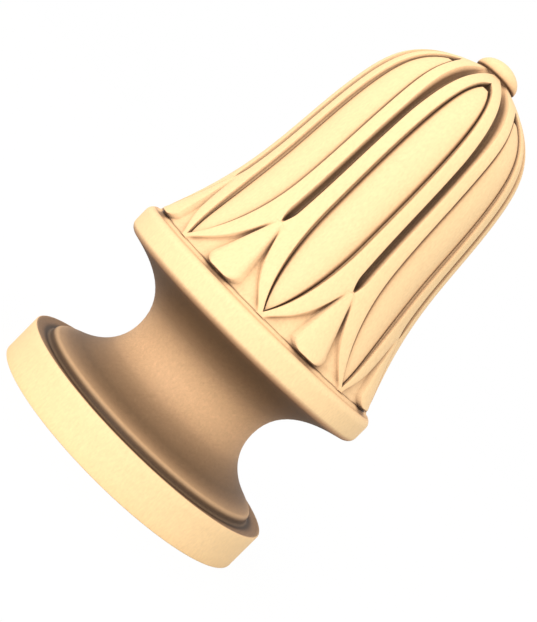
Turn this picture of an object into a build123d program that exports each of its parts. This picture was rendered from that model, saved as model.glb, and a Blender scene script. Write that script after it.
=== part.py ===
from build123d import *
import os
from math import cos, radians, sin

# Finial for a wooden curtain pole: one piece of wood, turned and then carved.
# Millimetres, +Z up the turning axis, origin at the middle of the flat underside.
# The middle of one petal faces -Y.

# Foot: a plain disc with a shallow cove and a bead on top
base_radius = 32.0
base_height = 8.75
base_edge_rounding = 0.3
cove_depth = 0.85
bead_radius = 1.44
bead_inset = 5.1
bead_lift = 0.95

# Neck, from the bead to the collar
waist_radius = 16.3
neck_height = 26.45
waist_share = 0.516
neck_foot_pull = 9.5
neck_head_pull = 8.2

# Collar under the bulb
collar_radius = 31.75
collar_height = 6.4
collar_rounding = 1.9
collar_top_inset = 1.05
collar_bottom_inset = 1.65

# Bulb: its height, and its outline as shares of its bottom radius and height
bulb_gap = 0.8
bulb_height = 65.85
bulb_bottom_radius = 29.6
bulb_edge_step = 0.25
shoulder_share = (0.894, 0.1336)
waisted_share = (0.780, 0.3766)
upper_share = (0.696, 0.7168)
crown_start_share = (0.5845, 0.8626)
crown_share = (0.385, 0.9491)
button_foot_share = 0.159

# Button on the crown
button_radius = 5.1
button_height = 3.95
button_swell_height = 0.55
button_root = 1.5

# Petals: hollow panels with a leaf standing in each
petal_count = 8
panel_half_width = 4.78
panel_bottom_share = 0.0213
panel_widest_share = 0.349
panel_top_share = 0.9491
panel_floor_depth = 1.05
leaf_depth = 0.55
leaf_axis_offset = 14.0
leaf_top_share = 0.911
leaf_side_share = 0.81

# Ribs around the panels
rib_tip_half_width = 0.69
rib_half_width = 8.6
rib_spread_share = 0.2308

# Channels between the petals
channel_half_width = 0.95
channel_floor_half_width = 0.17
channel_depth = 1.2
channel_crown_extra = 0.45

# Tongues under the channels, and the ground cut back around them
ground_depth_top = 0.95
ground_depth_bottom = 0.1
ground_end = 0.203
tongue_half_width = 3.85
tongue_bottom_share = 0.0053
tongue_top_share = 0.2263
tongue_corner_height = 1.15
tongue_corner_width = 1.1
tongue_lift = 0.8
tongue_axis_offset = 21.0

# Pilot hole for a screw, from below
hole_radius = 3.0
hole_depth = 30.0
hole_chamfer = 0.6

# Worked out from the sizes above
collar_bottom = base_height + neck_height
collar_top = collar_bottom + collar_height
bulb_bottom = collar_top + bulb_gap
bulb_top = bulb_bottom + bulb_height
waist_height = base_height + waist_share * neck_height
button_foot_radius = button_foot_share * bulb_bottom_radius
button_swell = bulb_top + button_swell_height
button_top = bulb_top + button_height
petal_angle = 360 / petal_count
outside = base_radius + 8.0

# Plane of the turned outlines, set on a rib so that no seam falls on a carved middle line
outline_angle = radians(0.37 * petal_angle)
outline_plane = Plane((0, 0, 0), x_dir=(cos(outline_angle), sin(outline_angle), 0),
                      z_dir=(sin(outline_angle), -cos(outline_angle), 0))
back_plane = Plane((0, 0, 0), x_dir=(-1, 0, 0), z_dir=(0, 1, 0))


def up(share):
    """Height of a place on the bulb, from its share of the bulb's height."""
    return bulb_bottom + share * bulb_height


def on_bulb(shares):
    """Point of the bulb's outline, from its shares of bottom radius and height."""
    return (shares[0] * bulb_bottom_radius, up(shares[1]))


# Outline of the bulb at the level of the ribs
with BuildLine() as bulb_line:
    Spline(
        (bulb_bottom_radius, bulb_bottom),
        on_bulb(shoulder_share),
        on_bulb(waisted_share),
        on_bulb(upper_share),
        on_bulb(crown_start_share),
        on_bulb(crown_share),
        (button_foot_radius, bulb_top),
    )
bulb_edge = bulb_line.edges()[0]


def moved_in(depth_at, axis_offset=0.0, first=0.0, last=1.0, count=14):
    """Points of the bulb's outline, moved inwards by a depth that may vary along it."""
    points = []
    for step in range(count):
        along = first + (last - first) * step / (count - 1)
        place = bulb_edge @ along
        run = bulb_edge % along
        depth = depth_at(along)
        points.append((place.X - run.Y * depth - axis_offset, place.Y + run.X * depth))
    return points


# Turned body: foot, cove, bead, neck, collar and bulb in one outline
bead_centre = (base_radius - bead_inset, base_height + bead_lift)
bead_side = (bead_centre[0] + bead_radius, bead_centre[1])
bead_crown = (bead_centre[0], bead_centre[1] + bead_radius)
bead_crease = (bead_centre[0] - 0.8 * bead_radius, bead_centre[1] + 0.6 * bead_radius)
cove_middle = ((base_radius + bead_side[0]) / 2 - 0.3, base_height - cove_depth)
corner = 0.3 * base_edge_rounding
collar_foot = (collar_radius - collar_bottom_inset, collar_bottom)
collar_low_bend = (collar_radius - 0.27 * collar_bottom_inset, collar_bottom + 0.34 * collar_rounding)
collar_low = (collar_radius, collar_bottom + collar_rounding)
collar_high = (collar_radius, collar_top - collar_rounding)
collar_high_bend = (collar_radius - 0.29 * collar_top_inset, collar_top - 0.34 * collar_rounding)
collar_head = (collar_radius - collar_top_inset, collar_top)
bulb_foot = (bulb_bottom_radius - bulb_edge_step, bulb_bottom)
band_middle = (bulb_bottom_radius + bulb_edge_step, collar_top + 0.31 * bulb_gap)
with BuildPart() as finial:
    with BuildSketch(outline_plane):
        with BuildLine():
            Line((0, 0), (base_radius - base_edge_rounding, 0))
            ThreePointArc((base_radius - base_edge_rounding, 0), (base_radius - corner, corner),
                          (base_radius, base_edge_rounding))
            Line((base_radius, base_edge_rounding), (base_radius, base_height - base_edge_rounding))
            ThreePointArc((base_radius, base_height - base_edge_rounding),
                          (base_radius - corner, base_height - corner),
                          (base_radius - base_edge_rounding, base_height))
            ThreePointArc((base_radius - base_edge_rounding, base_height), cove_middle, bead_side)
            ThreePointArc(bead_side, bead_crown, bead_crease)
            Bezier(bead_crease, (0.775 * base_radius, base_height + 0.12 * neck_height),
                   (waist_radius, waist_height - neck_foot_pull), (waist_radius, waist_height))
            Bezier((waist_radius, waist_height), (waist_radius, waist_height + neck_head_pull),
                   (0.756 * collar_radius, collar_bottom - 0.064 * neck_height), collar_foot)
            ThreePointArc(collar_foot, collar_low_bend, collar_low)
            Line(collar_low, collar_high)
            ThreePointArc(collar_high, collar_high_bend, collar_head)
            ThreePointArc(collar_head, band_middle, bulb_foot)
            Line(bulb_foot, (bulb_bottom_radius, bulb_bottom))
            add(bulb_edge)
            Polyline(bulb_edge @ 1, (0, bulb_top), (0, 0))
        make_face()
    revolve(axis=Axis.Z)

# Leaf standing in one petal, rounder across than the bulb because its axis lies off the middle
with BuildPart() as leaf:
    with BuildSketch(Plane((leaf_axis_offset, 0, 0), x_dir=(0, -1, 0), z_dir=(-1, 0, 0))):
        with BuildLine():
            leaf_line = Spline(*moved_in(lambda along: leaf_depth, leaf_axis_offset, last=leaf_side_share),
                               (0, up(leaf_top_share)))
            Polyline(leaf_line @ 1, (0, (leaf_line @ 0).Y), leaf_line @ 0)
        make_face()
    revolve(axis=Axis((leaf_axis_offset, 0, 0), (0, 0, 1)), revolution_arc=180)

# Panel inside one petal's rib: pointed below, arched above, cut in to a level floor around the leaf
panel_bottom = up(panel_bottom_share)
panel_top = up(panel_top_share)
panel_widest = (panel_half_width, up(panel_widest_share))
with BuildPart() as panel:
    with BuildSketch(Plane.YZ):
        with BuildLine():
            Bezier((0, panel_bottom), (0.37 * panel_half_width, panel_bottom + 0.04 * bulb_height),
                   (panel_half_width, panel_bottom + 0.141 * bulb_height), panel_widest)
            Bezier(panel_widest, (panel_half_width, panel_top - 0.319 * bulb_height),
                   (0.72 * panel_half_width, panel_top - 0.009 * bulb_height), (0, panel_top))
            mirror(about=Plane.YZ)
        make_face()
    extrude(amount=outside)
    with BuildSketch(back_plane):
        with BuildLine():
            floor_line = Spline(*moved_in(lambda along: panel_floor_depth))
            Polyline(floor_line @ 1, (0, (floor_line @ 1).Y), (0, (floor_line @ 0).Y), floor_line @ 0)
        make_face()
    revolve(axis=Axis.Z, mode=Mode.SUBTRACT)
    add(leaf.part, mode=Mode.SUBTRACT)


def channel_depth_at(along):
    """Depth of a channel: even up the side, deeper over the crown, running out at the button."""
    crown = channel_crown_extra * max(0.0, 1 - abs(along - 0.86) / 0.12)
    return (channel_depth + crown) * min(1.0, (1.03 - along) / 0.07)


# Channel between two petals: sloping sides and a narrow floor
channel_flare = (channel_half_width - channel_floor_half_width) / channel_depth
with BuildPart() as channel:
    with BuildLine(Plane.XZ) as channel_path:
        Spline(*moved_in(channel_depth_at, first=0.216, last=0.99))
    path = channel_path.edges()[0]
    with BuildSketch(Plane(origin=path @ 0, x_dir=(0, -1, 0), z_dir=path % 0)):
        with BuildLine():
            Polyline((-channel_floor_half_width, 0), (channel_floor_half_width, 0),
                     (channel_floor_half_width + 3 * channel_flare, 3),
                     (-channel_floor_half_width - 3 * channel_flare, 3), close=True)
        make_face()
    sweep(path=path)

# Outer edges of one petal's ribs where they run together at its foot
rib_bottom = up(-0.0015)
rib_spread = (rib_half_width, up(rib_spread_share))
with BuildPart() as rib_lens:
    with BuildSketch(Plane.YZ):
        with BuildLine():
            Line((0, rib_bottom), (rib_tip_half_width, rib_bottom))
            Bezier((rib_tip_half_width, rib_bottom), (0.217 * rib_half_width, up(0.041)),
                   (0.752 * rib_half_width, up(0.0516)), rib_spread)
            Polyline(rib_spread, (rib_half_width, up(0.267)), (0, up(0.267)))
            mirror(about=Plane.YZ)
        make_face()
    extrude(amount=outside)


def ground_depth_at(along):
    """Depth of the ground: next to nothing at the bulb's edge, deepest under the channels."""
    return ground_depth_bottom + (ground_depth_top - ground_depth_bottom) * along / ground_end


# Ground around the tongues: a ring cut back between the petals' feet
with BuildPart() as ground:
    with BuildSketch(outline_plane):
        with BuildLine():
            ground_line = Spline(*moved_in(ground_depth_at, last=ground_end, count=6))
            Polyline(ground_line @ 1, (outside, (ground_line @ 1).Y), (outside, bulb_bottom),
                     ground_line @ 0)
        make_face()
    revolve(axis=Axis.Z)
    with PolarLocations(0, petal_count):
        add(rib_lens.part, mode=Mode.SUBTRACT)


def tongue_depth_at(along):
    """A tongue stands proud of the ribs at its lip and comes down to them at its tip."""
    return -tongue_lift * max(0.0, 1 - along / 0.21)


# Tongue between two petals: slim at its tip, rounded across, spreading to a proud rounded lip
tongue_bottom = up(tongue_bottom_share)
tongue_side = (tongue_half_width, tongue_bottom + tongue_corner_height)
tongue_bend = (tongue_half_width - 0.32 * tongue_corner_width, tongue_bottom + 0.25)
tongue_corner = (tongue_half_width - tongue_corner_width, tongue_bottom)
tongue_root = (0, tongue_bottom - 0.25)
with BuildPart() as tongue:
    with BuildSketch(Plane.YZ):
        with BuildLine():
            Bezier((0, up(tongue_top_share)), (0.37 * tongue_half_width, up(0.194)),
                   (0.66 * tongue_half_width, up(0.091)), tongue_side)
            ThreePointArc(tongue_side, tongue_bend, tongue_corner)
            ThreePointArc(tongue_corner, (0.5 * tongue_half_width, tongue_bottom - 0.15), tongue_root)
            mirror(about=Plane.YZ)
        make_face()
    extrude(amount=outside)
    with BuildSketch(Plane((tongue_axis_offset, 0, 0), x_dir=(0, -1, 0), z_dir=(-1, 0, 0))):
        with BuildLine():
            tongue_line = Spline(*moved_in(tongue_depth_at, tongue_axis_offset, last=0.25, count=8))
            Polyline(tongue_line @ 1, (0, (tongue_line @ 1).Y), (0, bulb_bottom - 1.4),
                     ((tongue_line @ 0).X, bulb_bottom - 1.4), tongue_line @ 0)
        make_face()
    revolve(axis=Axis((tongue_axis_offset, 0, 0), (0, 0, 1)), revolution_arc=180, mode=Mode.INTERSECT)

# Carving, then the button, and the pilot hole from below
button_rise = button_top - button_swell
with finial:
    with PolarLocations(0, petal_count):
        add(panel.part, mode=Mode.SUBTRACT)
    add(ground.part, mode=Mode.SUBTRACT)
    with PolarLocations(0, petal_count, start_angle=petal_angle / 2):
        add(channel.part, mode=Mode.SUBTRACT)
    with PolarLocations(0, petal_count, start_angle=petal_angle / 2):
        add(tongue.part)
    with BuildSketch(outline_plane):
        with BuildLine():
            ThreePointArc((button_foot_radius, bulb_top),
                          (button_radius - 0.12, bulb_top + 0.45 * button_swell_height),
                          (button_radius, button_swell))
            Bezier((button_radius, button_swell), (button_radius, button_swell + 0.55 * button_rise),
                   (0.55 * button_radius, button_top), (0, button_top))
            Polyline((0, button_top), (0, bulb_top - button_root),
                     (button_foot_radius - 1.0, bulb_top - button_root), (button_foot_radius, bulb_top))
        make_face()
    revolve(axis=Axis.Z)
    Cylinder(hole_radius, hole_depth, align=(Align.CENTER, Align.CENTER, Align.MIN), mode=Mode.SUBTRACT)
    Cone(hole_radius + hole_chamfer, hole_radius, hole_chamfer,
         align=(Align.CENTER, Align.CENTER, Align.MIN), mode=Mode.SUBTRACT)

finial.part.label = "finial"
os.makedirs("parts", exist_ok=True)
export_step(finial.part, "parts/finial.step")
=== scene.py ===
from math import cos, pi, radians, sin

import bpy
import numpy as np
from mathutils import Matrix, Vector


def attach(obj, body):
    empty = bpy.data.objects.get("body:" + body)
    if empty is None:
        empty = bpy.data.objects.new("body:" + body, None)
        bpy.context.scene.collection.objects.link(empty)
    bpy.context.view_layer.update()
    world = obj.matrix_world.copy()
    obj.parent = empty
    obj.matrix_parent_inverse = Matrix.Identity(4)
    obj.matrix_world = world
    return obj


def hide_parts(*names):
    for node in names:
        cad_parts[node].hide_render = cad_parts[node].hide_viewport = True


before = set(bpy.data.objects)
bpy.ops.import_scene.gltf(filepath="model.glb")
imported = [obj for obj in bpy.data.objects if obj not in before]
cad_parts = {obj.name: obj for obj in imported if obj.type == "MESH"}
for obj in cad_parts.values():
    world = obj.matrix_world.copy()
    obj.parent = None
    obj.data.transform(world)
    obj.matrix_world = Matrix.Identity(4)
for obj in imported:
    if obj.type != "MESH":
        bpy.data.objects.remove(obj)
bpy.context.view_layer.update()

# Camera
# It looks at the upright finial from 251 mm in front of the turning axis, a little below its middle.
# It is rolled by an eighth of a turn, so that the button points to the upper right of the picture.
camera_distance = 0.2512
camera_height = 0.0549
camera_pitch = radians(2.79)
camera_aim = radians(0.16)
camera_roll = radians(45)
forward = Vector((sin(camera_aim) * cos(camera_pitch), cos(camera_aim) * cos(camera_pitch),
                  -sin(camera_pitch)))
level_right = forward.cross(Vector((0, 0, 1))).normalized()
level_up = level_right.cross(forward)
rolled_right = level_right * cos(camera_roll) + level_up * sin(camera_roll)
rolled_up = level_up * cos(camera_roll) - level_right * sin(camera_roll)
camera_data = bpy.data.cameras.new("camera")
camera_data.lens = 70.6
camera_data.sensor_width = 36
camera_data.clip_start = 0.01
camera = bpy.data.objects.new("camera", camera_data)
camera.matrix_world = Matrix.Translation((0, -camera_distance, camera_height)) @ Matrix(
    (rolled_right, rolled_up, -forward)).transposed().to_4x4()
bpy.context.collection.objects.link(camera)
bpy.context.scene.camera = camera

# Finial
# One piece of fine, close-grained pale wood. It is turned to its outline first, then the bulb is
# carved into eight petals with arched ribs, channels between them and tongues at their feet. The
# hole in its flat underside takes the screw that fixes it to its pole. Sizes are in millimetres.
mm = 0.001
petals = 8
half_petal = pi / petals
foot_radius, foot_height = 31.99, 8.75
waist_radius, waist_height = 16.3, 22.4
collar_radius = 31.75
bulb_foot = 42.4
crown_radius, crown_height = 4.706, 108.25
button_radius = 5.1
whole_height = 112.2
hole_radius, hole_depth, hole_chamfer = 3.0, 30.0, 0.6


def bezier(start, pull_start, pull_end, end, count):
    """Points of a curve from start to end, drawn towards two pull points on the way."""
    t = np.linspace(0, 1, count)[:, None]
    start, pull_start, pull_end, end = (np.array(p, float) for p in (start, pull_start, pull_end, end))
    return (1 - t) ** 3 * start + 3 * t * (1 - t) ** 2 * pull_start \
        + 3 * t * t * (1 - t) * pull_end + t ** 3 * end


def arc(start, middle, end, count):
    """Points of the circle's arc that runs through three points."""
    a, b, c = (complex(*p) for p in (start, middle, end))
    w = (c - a) / (b - a)
    centre = (b - a) * (w - abs(w) ** 2) / (2j * w.imag) + a
    turn = np.angle((c - centre) / (a - centre))
    way = np.angle((b - centre) / (a - centre))
    if way * turn < 0 or abs(way) > abs(turn):
        turn -= 2 * pi * np.sign(turn)
    spots = centre + (a - centre) * np.exp(1j * turn * np.linspace(0, 1, count))
    return np.column_stack([spots.real, spots.imag])


def smooth_curve(points):
    """Curve that bends evenly through all the points: returns its place at any share of its length."""
    gaps = np.r_[0, np.cumsum(np.hypot(*np.diff(points, axis=0).T))]
    gaps /= gaps[-1]
    n = len(points)
    h = np.diff(gaps)
    matrix = np.eye(n)
    right = np.zeros((n, 2))
    for i in range(1, n - 1):
        matrix[i, i - 1:i + 2] = h[i - 1], 2 * (h[i - 1] + h[i]), h[i]
        right[i] = 6 * ((points[i + 1] - points[i]) / h[i] - (points[i] - points[i - 1]) / h[i - 1])
    bend = np.linalg.solve(matrix, right)

    def place(share):
        i = np.clip(np.searchsorted(gaps, share) - 1, 0, n - 2)
        u = (share - gaps[i])[:, None]
        v = (gaps[i + 1] - share)[:, None]
        step = h[i][:, None]
        return (bend[i] * v ** 3 + bend[i + 1] * u ** 3) / (6 * step) \
            + (points[i] / step - bend[i] * step / 6) * v \
            + (points[i + 1] / step - bend[i + 1] * step / 6) * u
    return place


def step_up(x):
    """Rises smoothly from 0 to 1 while x goes from 0 to 1."""
    x = np.clip(x, 0, 1)
    return x * x * (3 - 2 * x)


# Outline of the turned parts below the bulb, as (radius, height), from the hole's floor outwards and up
foot_outline = np.vstack([
    [(hole_radius, z) for z in (hole_depth, 20.0, 10.0, hole_chamfer)],
    [(r, 0.0) for r in (hole_radius + hole_chamfer, 9.0, 16.0, 23.0, 28.0)],
    arc((31.7, 0.0), (31.9, 0.09), (foot_radius, 0.3), 4),
    [(foot_radius, 2.4), (foot_radius, 4.5), (foot_radius, 6.5)],
    arc((foot_radius, 8.45), (31.9, 8.66), (31.7, foot_height), 4),
    arc((31.7, foot_height), (30.4, 8.5), (29.2, 8.36), 7)[1:],
    bezier((29.2, 8.36), (28.2, 8.1), (28.05, 8.5), (27.9, 9.35), 8)[1:],
    bezier((27.9, 9.35), (27.75, 10.0), (27.35, 10.2), (26.8, 10.42), 8)[1:],
    bezier((26.8, 10.42), (24.6, 11.45), (waist_radius, 13.9), (waist_radius, waist_height), 22)[1:],
    bezier((waist_radius, waist_height), (waist_radius, 30.6), (24.0, 33.5), (30.1, 35.2), 16)[1:],
    arc((30.1, 35.2), (31.3, 35.85), (collar_radius, 37.1), 6)[1:],
    [(collar_radius, 38.4)],
    arc((collar_radius, 39.7), (31.45, 40.95), (30.7, 41.6), 6),
    arc((30.7, 41.6), (29.95, 41.82), (29.55, bulb_foot), 5)[1:],
])

# The bulb's outline runs through these points. Its rows of corners stand row_gap apart along it, and
# closer where carved shapes start or end: each of those places has its height, its reach and how
# much the gap shrinks there.
bulb_place = smooth_curve(np.array([
    (29.6, bulb_foot), (26.462, 51.197), (23.088, 67.199), (20.602, 89.601),
    (17.301, 99.202), (11.396, 104.898), (crown_radius, crown_height)]))
row_gap = 0.52
closer_places = (57.2, 1.3, 0.30), (42.6, 1.2, 0.40), (104.2, 1.6, 0.20)
fine_steps = 4000
nudge = 1e-4
fine = np.linspace(0, 1, fine_steps + 1)
fine_spots = bulb_place(fine)
fine_length = np.r_[0, np.cumsum(np.hypot(*np.diff(fine_spots, axis=0).T))]
wanted_gap = row_gap - sum(
    less * np.exp(-((fine_spots[:, 1] - middle) / reach) ** 2) for middle, reach, less in closer_places)
row_count = np.r_[0, np.cumsum(np.diff(fine_length) / wanted_gap[1:])]
last = int(row_count[-1])
rows = np.interp(np.arange(last + 1) / last * row_count[-1], row_count, fine)
ahead = bulb_place(np.clip(rows + nudge, 0, 1)) - bulb_place(np.clip(rows - nudge, 0, 1))
ahead /= np.hypot(*ahead.T)[:, None]
inward = np.column_stack([-ahead[:, 1], ahead[:, 0]])
radius, height = bulb_place(rows).T

# Carved edges as half-widths from the middle of a petal or of a tongue, with their heights. A panel's
# side slopes over the width of its wall, and two neighbouring ribs meet at ribs_meet, above a tongue.
wall = 0.28
ribs_meet = 57.3
panel_half = 4.78
panel_foot, panel_widest, panel_top = 43.8, 65.38, 105.0
wall_foot = panel_foot - 1.7 * wall
wall_top = panel_top + 1.3 * wall
panel_edge = np.vstack([
    bezier((0, panel_foot), (1.77, 46.43), (panel_half, 53.09), (panel_half, panel_widest), 60),
    bezier((panel_half, panel_widest), (panel_half, 83.89), (4.7, 101.4), (0, panel_top), 60)[1:]])
run = np.gradient(panel_edge, axis=0)
run /= np.hypot(*run.T)[:, None]
rib_inner = np.vstack([
    [(0, wall_foot)],
    panel_edge + wall * np.column_stack([run[:, 1], -run[:, 0]]),
    [(0, wall_top)]])
rib_outer = bezier((0.69, 42.3), (1.87, 45.1), (6.47, 45.8), (8.6, 57.6), 60)
tongue_edge = np.vstack([
    [(0, 42.5), (1.5, 42.56), (2.3, 42.72), (2.95, 42.98), (3.42, 43.36), (3.72, 43.86)],
    bezier((3.85, 44.5), (2.6, 48.6), (1.42, 55.18), (0, ribs_meet), 60)])


def width_at(edge, at):
    """Half-width of a carved edge at each height, and nothing beyond its ends."""
    return np.interp(at, edge[:, 1], np.maximum(edge[:, 0], 0), left=0, right=0)


def turned(width):
    """Angle that a half-width takes up at each row's radius."""
    return np.arcsin(np.clip(width / radius, 0, 1))


def by_height(*pairs):
    """A size that changes with height, from pairs of a height and the size there."""
    heights, sizes = zip(*pairs)
    return np.interp(height, heights, sizes)


# The carved edges as angles from the middle of a petal, row by row. No two are closer than tiny. The
# leaf fills leaf_share of its panel, and a channel's flat floor is three narrow strips either side.
tiny = radians(0.04)
leaf_share = 0.94
floor_edge, floor_inner, floor_middle = 0.17, 0.10, 0.05
in_ground = height < ribs_meet + 0.05
panel_turn = turned(width_at(panel_edge, height))
inner_turn = turned(width_at(rib_inner, height))
channel_half = by_height((57.4, 1.0), (60, 1.0), (75, 0.95), (90, 0.9), (99, 1.25), (104, 1.3),
                         (crown_height, 1.0))
channel_taper = 1 - np.clip((height - ribs_meet) / 3.4, 0, 1)
channel_half = channel_half * (0.15 + 0.85 * (1 - channel_taper ** 1.6))
outer_low = turned(np.interp(height, rib_outer[:, 1], rib_outer[:, 0]))
outer_high = half_petal - channel_half / radius
outer_turn = np.where(height < ribs_meet - 0.3, outer_low, np.minimum(outer_high, half_petal - 6 * tiny))
tongue_turn = half_petal - turned(width_at(tongue_edge, height))
ground_wall = by_height((bulb_foot, 0.45), (46, 0.7), (51, 1.1), (ribs_meet, 0.5)) / radius
tongue_wall = by_height((bulb_foot, 0.5), (44, 0.75), (50, 0.6), (ribs_meet, 0.25)) / radius
between = (outer_turn + tongue_turn) / 2
ground_start = np.where(in_ground, np.minimum(outer_turn + ground_wall, between - tiny),
                        half_petal - floor_edge / radius)
ground_end = np.where(in_ground, np.maximum(tongue_turn - tongue_wall, between + tiny),
                      half_petal - floor_inner / radius)
tongue_start = np.where(in_ground, np.minimum(tongue_turn, half_petal - tiny),
                        half_petal - floor_middle / radius)
leaf_turn = leaf_share * turned(width_at(panel_edge, height + 0.6 * step_up((height - 96) / 8)))

# Depths below the ribs' level: the panel's floor with the rounded leaf on it, the ground beside the
# tongues, and the channel. A tongue's lip stands proud of the ribs, so its depth is below zero.
panel_depth = 1.02 + 0.45 * step_up((height - 102.6) / 1.2)
leaf_middle = 0.48
leaf_roundness = 12.4
leaf_side = leaf_middle + (leaf_turn * radius) ** 2 / 2 * (1 / leaf_roundness - 1 / radius)
leaf_end = step_up((height - 103.7) / 0.7)
panel_there = step_up((height - wall_foot) / (panel_foot - wall_foot)) \
    * step_up((wall_top - height) / (wall_top - panel_top))
channel_deep = by_height((57.4, 1.45), (60, 1.5), (75, 1.45), (90, 1.4), (99, 1.75), (104, 1.75),
                         (106.5, 1.2), (crown_height, 0.4))
channel_deep = channel_deep * step_up((height - 57.2) / 1.8)
ground_depth = (0.25 + 0.35 * step_up((height - bulb_foot) / 1.5) + 0.14 * step_up((height - 44) / 5)) \
    * step_up((57.7 - height) / 6.2)
lip_height, lip_reach = 0.8, 15
lip = lip_height * np.clip(1 - (height - bulb_foot) / lip_reach, 0, 1)
tongue_there = step_up((height - 42.46) / 0.1)
tongue_roundness = np.maximum(radius - 17.6, 3.0)
tongue_half = turned(width_at(tongue_edge, height)) * radius
tongue_side = -lip + tongue_half ** 2 / 2 * (1 / tongue_roundness - 1 / radius)
tongue_side = np.minimum(tongue_side, ground_depth) * tongue_there + ground_depth * (1 - tongue_there)
tongue_middle = -lip * tongue_there + ground_depth * (1 - tongue_there)
tongue_side = np.where(in_ground, tongue_side, channel_deep)
tongue_middle = np.where(in_ground, tongue_middle, channel_deep)
cut_depth = np.where(in_ground, ground_depth, channel_deep)


def columns(start, end, count, ends=False):
    """Evenly spaced places between two edges, with or without the far one."""
    shares = np.linspace(0, 1, count + 1)[:count + 1 if ends else count]
    return start[:, None] + (end - start)[:, None] * shares


# The columns of corners from the middle of a petal to the middle of a tongue, with the depth of each.
# A rib's edges are rounded over edge_round, and drop by rounded_edge there.
leaf_columns, tongue_columns = 5, 3
zero = np.zeros_like(radius)
edge_round = 0.12 / radius
rib_in = np.minimum(np.maximum(inner_turn, 6 * tiny), outer_turn - 4 * tiny)
panel_in = np.minimum(np.maximum(panel_turn, 4 * tiny), rib_in - tiny)
leaf_in = np.minimum(np.maximum(leaf_turn, 2 * tiny), panel_in - tiny)
rib_first = np.minimum(rib_in + edge_round, (rib_in + outer_turn) / 2 - tiny)
rib_last = np.maximum(outer_turn - edge_round, (rib_in + outer_turn) / 2 + tiny)
turns = np.hstack([
    columns(zero, leaf_in, leaf_columns),
    columns(leaf_in, panel_in, 2),
    columns(panel_in, rib_in, 2),
    columns(rib_in, rib_first, 1),
    columns(rib_first, rib_last, 3),
    columns(rib_last, outer_turn, 1),
    columns(outer_turn, ground_start, 2),
    columns(ground_start, ground_end, 2),
    columns(ground_end, tongue_start, 1),
    columns(tongue_start, zero + half_petal, tongue_columns, ends=True)])
leaf_across = (np.arange(leaf_columns) / leaf_columns) ** 2
leaf_face = leaf_middle + (leaf_side - leaf_middle)[:, None] * leaf_across
leaf_face = leaf_face * (1 - leaf_end[:, None]) + (panel_depth * leaf_end)[:, None]
leaf_face = np.minimum(leaf_face, panel_depth[:, None])
leaf_rim = np.minimum(panel_depth - 0.1, leaf_side * (1 - leaf_end) + panel_depth * leaf_end)
rounded_edge = 0.05
tongue_across = np.linspace(1, 0, tongue_columns + 1) ** 2
depths = np.hstack([
    leaf_face * panel_there[:, None],
    np.column_stack([
        leaf_rim * panel_there, panel_depth * panel_there, panel_depth * panel_there,
        0.5 * panel_depth * panel_there, rounded_edge * panel_there, zero, zero, zero, zero,
        np.minimum(rounded_edge, cut_depth), 0.55 * cut_depth, cut_depth, cut_depth, cut_depth]),
    tongue_middle[:, None] + (tongue_side - tongue_middle)[:, None] * tongue_across])

# The rows of the carved bulb, all round: each petal is one half with its mirror image
petal_turns = np.hstack([-turns[:, :0:-1], turns[:, :-1]])
petal_depths = np.hstack([depths[:, :0:-1], depths[:, :-1]])
bulb_turns = np.hstack([petal_turns + k * 2 * half_petal for k in range(petals)]) - pi / 2
bulb_depths = np.hstack([petal_depths] * petals)
bulb_r = radius[:, None] + inward[:, :1] * bulb_depths
bulb_z = height[:, None] + inward[:, 1:] * bulb_depths

# The turned parts are evenly divided all round, and the foot's last rows lead over to the bulb's columns.
# The button's outline starts on the crown and ends at the tip.
button_outline = np.vstack([
    arc((crown_radius, crown_height), (4.98, 108.5), (button_radius, 108.8), 4)[1:],
    bezier((button_radius, 108.8), (button_radius, 110.67),
           (2.805, whole_height), (0, whole_height), 12)[1:-1]])
around = bulb_turns.shape[1]
even = (np.arange(around) - around / petals / 2) * 2 * pi / around - pi / 2


def turned_rows(outline):
    """Radius, height and angle of each corner on the evenly divided rows of an outline."""
    one = np.ones(around)
    return outline[:, :1] * one, outline[:, 1:] * one, np.tile(even, (len(outline), 1))


foot_r, foot_z, foot_turns = turned_rows(foot_outline)
for back in range(3):
    foot_turns[-1 - back] = ((3 - back) * bulb_turns[0] + back * even) / 3
button_r, button_z, button_turns = turned_rows(button_outline)
ring_r = np.vstack([foot_r, bulb_r, button_r])
ring_z = np.vstack([foot_z, bulb_z, button_z])
ring_turn = np.vstack([foot_turns, bulb_turns, button_turns])
corners = np.column_stack([(ring_r * np.cos(ring_turn)).ravel(), (ring_r * np.sin(ring_turn)).ravel(),
                           ring_z.ravel()])
hole_floor, tip = len(corners), len(corners) + 1
corners = np.vstack([corners, [(0, 0, hole_depth), (0, 0, whole_height)]]) * mm
here = np.arange(around)
there = (here + 1) % around
faces = []
for low_row in range(0, hole_floor - around, around):
    high_row = low_row + around
    faces += np.column_stack([low_row + here, low_row + there, high_row + there, high_row + here]).tolist()
last_row = hole_floor - around
faces += [[hole_floor, int(t), int(h)] for h, t in zip(here, there)]
faces += [[int(last_row + h), int(last_row + t), tip] for h, t in zip(here, there)]
finial_mesh = bpy.data.meshes.new("carved_finial")
finial_mesh.from_pydata(corners.tolist(), [], faces)
finial_mesh.polygons.foreach_set("use_smooth", [True] * len(finial_mesh.polygons))
finial_mesh.validate()
finial_mesh.update()
finial = bpy.data.objects.new("carved_finial", finial_mesh)
bpy.context.collection.objects.link(finial)

# The wood is pale, and painted shade turns it brown in its hollows and in the neck
wood = bpy.data.materials.new("pale_wood")
wood.use_nodes = True
nodes, links = wood.node_tree.nodes, wood.node_tree.links
surface = nodes["Principled BSDF"]
surface.inputs["Roughness"].default_value = 0.62
surface.inputs["Specular IOR Level"].default_value = 0.25
on_wood = nodes.new("ShaderNodeTexCoord").outputs["Object"]


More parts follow.
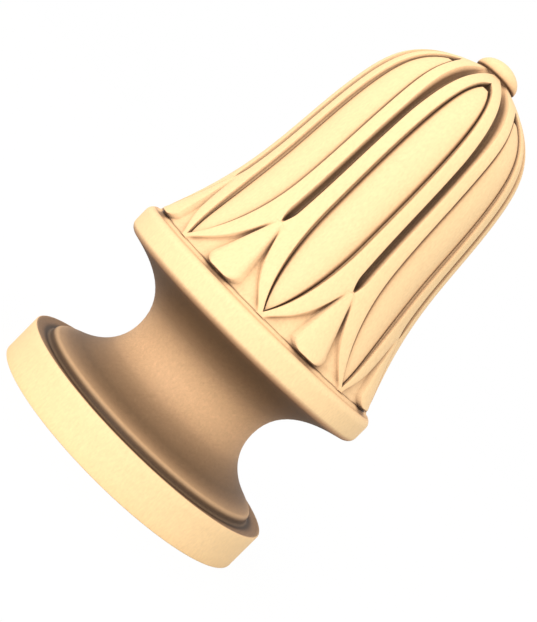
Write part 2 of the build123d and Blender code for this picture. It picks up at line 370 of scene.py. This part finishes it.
def wood_node(kind, inputs, operation=None):
    """A new node of the wood. Each of its inputs gets a plain value or another node's output."""
    node = nodes.new(kind)
    if operation:
        node.operation = operation
    for name, value in inputs.items():
        if isinstance(value, bpy.types.NodeSocket):
            links.new(value, node.inputs[name])
        else:
            node.inputs[name].default_value = value
    return node


def tones(source, stops):
    """Colours for a share from 0 to 1, between stops that have a share and a colour each."""
    node = wood_node("ShaderNodeValToRGB", {"Fac": source})
    bands = node.color_ramp.elements
    bands[0].position = stops[0][0]
    bands[0].color = (*stops[0][1], 1)
    bands[1].position = stops[-1][0]
    bands[1].color = (*stops[-1][1], 1)
    for share, colour in stops[1:-1]:
        bands.new(share).color = (*colour, 1)
    return node


def openness(reach):
    """How open the wood is around each point, within a reach: 1 on a flat face and less in a hollow."""
    node = wood_node("ShaderNodeAmbientOcclusion", {"Distance": reach})
    node.samples = 12
    node.only_local = True
    return node.outputs["AO"]


# Painted shade: wide hollows turn brown, and narrow creases a little darker still
hollow_shade_ramp = tones(openness(40 * mm), [
    (0.42, (0.12, 0.068, 0.034)), (0.55, (0.19, 0.11, 0.056)), (0.64, (0.26, 0.152, 0.078)),
    (0.70, (0.44, 0.265, 0.138)), (0.76, (0.64, 0.40, 0.214)), (0.83, (0.87, 0.57, 0.303)),
    (0.90, (0.92, 0.605, 0.323)), (0.96, (0.955, 0.645, 0.345)), (1.0, (0.98, 0.70, 0.375))])
crease_shade_ramp = tones(openness(3 * mm), [
    (0.45, (0.5, 0.46, 0.43)), (0.60, (0.68, 0.64, 0.61)), (0.75, (0.87, 0.83, 0.81)),
    (0.88, (0.98, 0.95, 0.94)), (1.0, (1, 1, 1))])
colour_with_hollow_shade = wood_node(
    "ShaderNodeVectorMath", {0: hollow_shade_ramp.outputs["Color"], 1: crease_shade_ramp.outputs["Color"]}, "MULTIPLY")

# Painted shade on the neck, by height: dark beside the bead and under the collar, and light at the waist. A
# colour stop holds nothing above 1, so the tones are written darker and multiplied by tone_gain in
# the end. plain_tone is the one that leaves the wood as it is.
tone_gain = 1.3
plain_tone = 0.77
neck_foot, neck_top, under_collar = 8.7, 36.7, 35
painted_shade_by_height = (
    (8.76, 0.77), (8.80, 0.24), (9.1, 0.24), (9.45, 0.32), (9.8, 0.48), (10.15, 0.64), (10.7, 0.56),
    (11.35, 0.42), (12.2, 0.35), (13.4, 0.43), (14.7, 0.50), (16.0, 0.61), (17.2, 0.78), (19.0, 0.90),
    (21.0, 0.97), (23.0, 0.93), (25.3, 0.81), (26.8, 0.67), (28.5, 0.49), (30.5, 0.39), (32.5, 0.30),
    (34.2, 0.24), (35.2, 0.22), (36.0, 0.42))
painted_shade_stops = [(0.0, (plain_tone,) * 3)]
for z, tone in painted_shade_by_height:
    shade_warmth = 1.15 if z > under_collar else 1.02
    painted_shade_stops.append(((z - neck_foot) / (neck_top - neck_foot), (tone * shade_warmth, tone, tone)))
painted_shade_stops.append((1.0, (plain_tone,) * 3))
level = wood_node("ShaderNodeSeparateXYZ", {"Vector": on_wood}).outputs["Z"]
up_neck = wood_node("ShaderNodeMapRange", {
    "From Min": neck_foot * mm, "From Max": neck_top * mm, "Value": level})
neck_shade_ramp = tones(up_neck.outputs["Result"], painted_shade_stops)
colour_with_neck_shade = wood_node(
    "ShaderNodeVectorMath", {0: colour_with_hollow_shade.outputs["Vector"], 1: neck_shade_ramp.outputs["Color"]}, "MULTIPLY")

# Painted shade darkens the ledge inside the foot's rim towards the bead. The ledge is all that lies inside
# the rim between two heights, and the share of the tone that it loses to the painted shade is worked out
# from both.
ledge_low, ledge_high, ledge_outer = 7.9, 8.78, 31.8
ledge_inner, ledge_middle = 28.5, 30.5
height_span = 10
flat_place = wood_node("ShaderNodeVectorMath", {0: on_wood, 1: (1, 1, 0)}, "MULTIPLY")
from_axis = wood_node("ShaderNodeVectorMath", {0: flat_place.outputs["Vector"]}, "LENGTH").outputs["Value"]
ledge_shade = wood_node("ShaderNodeMapRange", {
    "From Min": ledge_inner * mm, "From Max": ledge_middle * mm, "To Min": 0.66, "To Max": -0.2,
    "Value": from_axis})
ledge_shade.interpolation_type = "SMOOTHSTEP"
share_of_height = wood_node("ShaderNodeMapRange", {"From Max": height_span * mm, "Value": level})
black, white = (0, 0, 0), (1, 1, 1)
ledge_zone = tones(share_of_height.outputs["Result"], [
    (0.0, black), (ledge_low / height_span, white), (ledge_high / height_span, black)])
ledge_zone.color_ramp.interpolation = "CONSTANT"
inside_rim = wood_node("ShaderNodeMath", {0: from_axis, 1: ledge_outer * mm}, "LESS_THAN")
on_ledge = wood_node(
    "ShaderNodeMath", {0: ledge_zone.outputs["Color"], 1: inside_rim.outputs[0]}, "MULTIPLY")
painted_ledge_share = wood_node(
    "ShaderNodeMath", {0: on_ledge.outputs[0], 1: ledge_shade.outputs["Result"]}, "MULTIPLY")
tone_kept_from_shade = wood_node(
    "ShaderNodeMath", {0: painted_ledge_share.outputs[0], 1: -tone_gain, 2: tone_gain}, "MULTIPLY_ADD")
colour_with_all_shade = wood_node(
    "ShaderNodeVectorMath", {0: colour_with_neck_shade.outputs["Vector"], "Scale": tone_kept_from_shade.outputs[0]}, "SCALE")

# A fine speckle, a little longer up the grain, in the colour and as shallow pores
along_grain = wood_node("ShaderNodeMapping", {"Scale": (1.0, 1.0, 0.45), "Vector": on_wood})
grain = wood_node("ShaderNodeTexNoise", {
    "Scale": 2400, "Detail": 2, "Vector": along_grain.outputs["Vector"]}).outputs["Fac"]
speckle = wood_node("ShaderNodeMapRange", {"To Min": 0.88, "To Max": 1.12, "Value": grain})
speckled = wood_node(
    "ShaderNodeVectorMath", {0: colour_with_all_shade.outputs["Vector"], "Scale": speckle.outputs["Result"]}, "SCALE")
pores = wood_node("ShaderNodeBump", {"Strength": 0.08, "Distance": 0.2 * mm, "Height": grain})
links.new(speckled.outputs["Vector"], surface.inputs["Base Color"])
links.new(pores.outputs["Normal"], surface.inputs["Normal"])
finial_mesh.materials.append(wood)
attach(finial, "root")
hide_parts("finial")

# Floor
# A plain white studio floor, drawn almost wholly white to the camera, so that the background is
# white and the finial's soft shadow is still there.
floor_reach = 6
floor_mesh = bpy.data.meshes.new("floor")
floor_mesh.from_pydata([(-floor_reach, -floor_reach, 0), (floor_reach, -floor_reach, 0),
                        (floor_reach, floor_reach, 0), (-floor_reach, floor_reach, 0)], [], [(0, 1, 2, 3)])
floor = bpy.data.objects.new("floor", floor_mesh)
bpy.context.collection.objects.link(floor)
floor_paint = bpy.data.materials.new("white_floor")
floor_paint.use_nodes = True
nodes, links = floor_paint.node_tree.nodes, floor_paint.node_tree.links
paint = nodes["Principled BSDF"]
paint.inputs["Base Color"].default_value = (0.6, 0.6, 0.6, 1)
paint.inputs["Roughness"].default_value = 0.9
glow = nodes.new("ShaderNodeEmission")
glow.inputs["Strength"].default_value = 1.03
ray = nodes.new("ShaderNodeLightPath")
glow_share = nodes.new("ShaderNodeMath")
glow_share.operation = "MULTIPLY"
glow_share.inputs[1].default_value = 0.93
links.new(ray.outputs["Is Camera Ray"], glow_share.inputs[0])
blend = nodes.new("ShaderNodeMixShader")
links.new(glow_share.outputs[0], blend.inputs["Fac"])
links.new(paint.outputs["BSDF"], blend.inputs[1])
links.new(glow.outputs["Emission"], blend.inputs[2])
links.new(blend.outputs["Shader"], nodes["Material Output"].inputs["Surface"])
floor_mesh.materials.append(floor_paint)

# Light
# Soft, slightly warm light from all round, and one large soft lamp in front, a little to the left.
# The camera sees the surroundings as plain white.
world = bpy.data.worlds.new("studio")
bpy.context.scene.world = world
world.use_nodes = True
nodes, links = world.node_tree.nodes, world.node_tree.links
around_light = nodes["Background"]
around_light.inputs["Color"].default_value = (1, 0.97, 0.95, 1)
around_light.inputs["Strength"].default_value = 1.0
backdrop = nodes.new("ShaderNodeBackground")
backdrop.inputs["Color"].default_value = (1, 1, 1, 1)
backdrop.inputs["Strength"].default_value = 1.0
ray = nodes.new("ShaderNodeLightPath")
blend = nodes.new("ShaderNodeMixShader")
links.new(ray.outputs["Is Camera Ray"], blend.inputs["Fac"])
links.new(around_light.outputs["Background"], blend.inputs[1])
links.new(backdrop.outputs["Background"], blend.inputs[2])
links.new(blend.outputs["Shader"], nodes["World Output"].inputs["Surface"])
lamp_place = Vector((-0.35, -0.75, 0.25))
middle_of_finial = Vector((0, 0, 0.06))
lamp_data = bpy.data.lights.new("front_lamp", "AREA")
lamp_data.shape = "DISK"
lamp_data.size = 0.5
lamp_data.energy = 3.8
lamp = bpy.data.objects.new("front_lamp", lamp_data)
lamp.location = lamp_place
lamp.rotation_euler = (middle_of_finial - lamp_place).to_track_quat("-Z", "Y").to_euler()
bpy.context.collection.objects.link(lamp)

# Colours are shown as they are written
bpy.context.scene.view_settings.view_transform = "Standard"
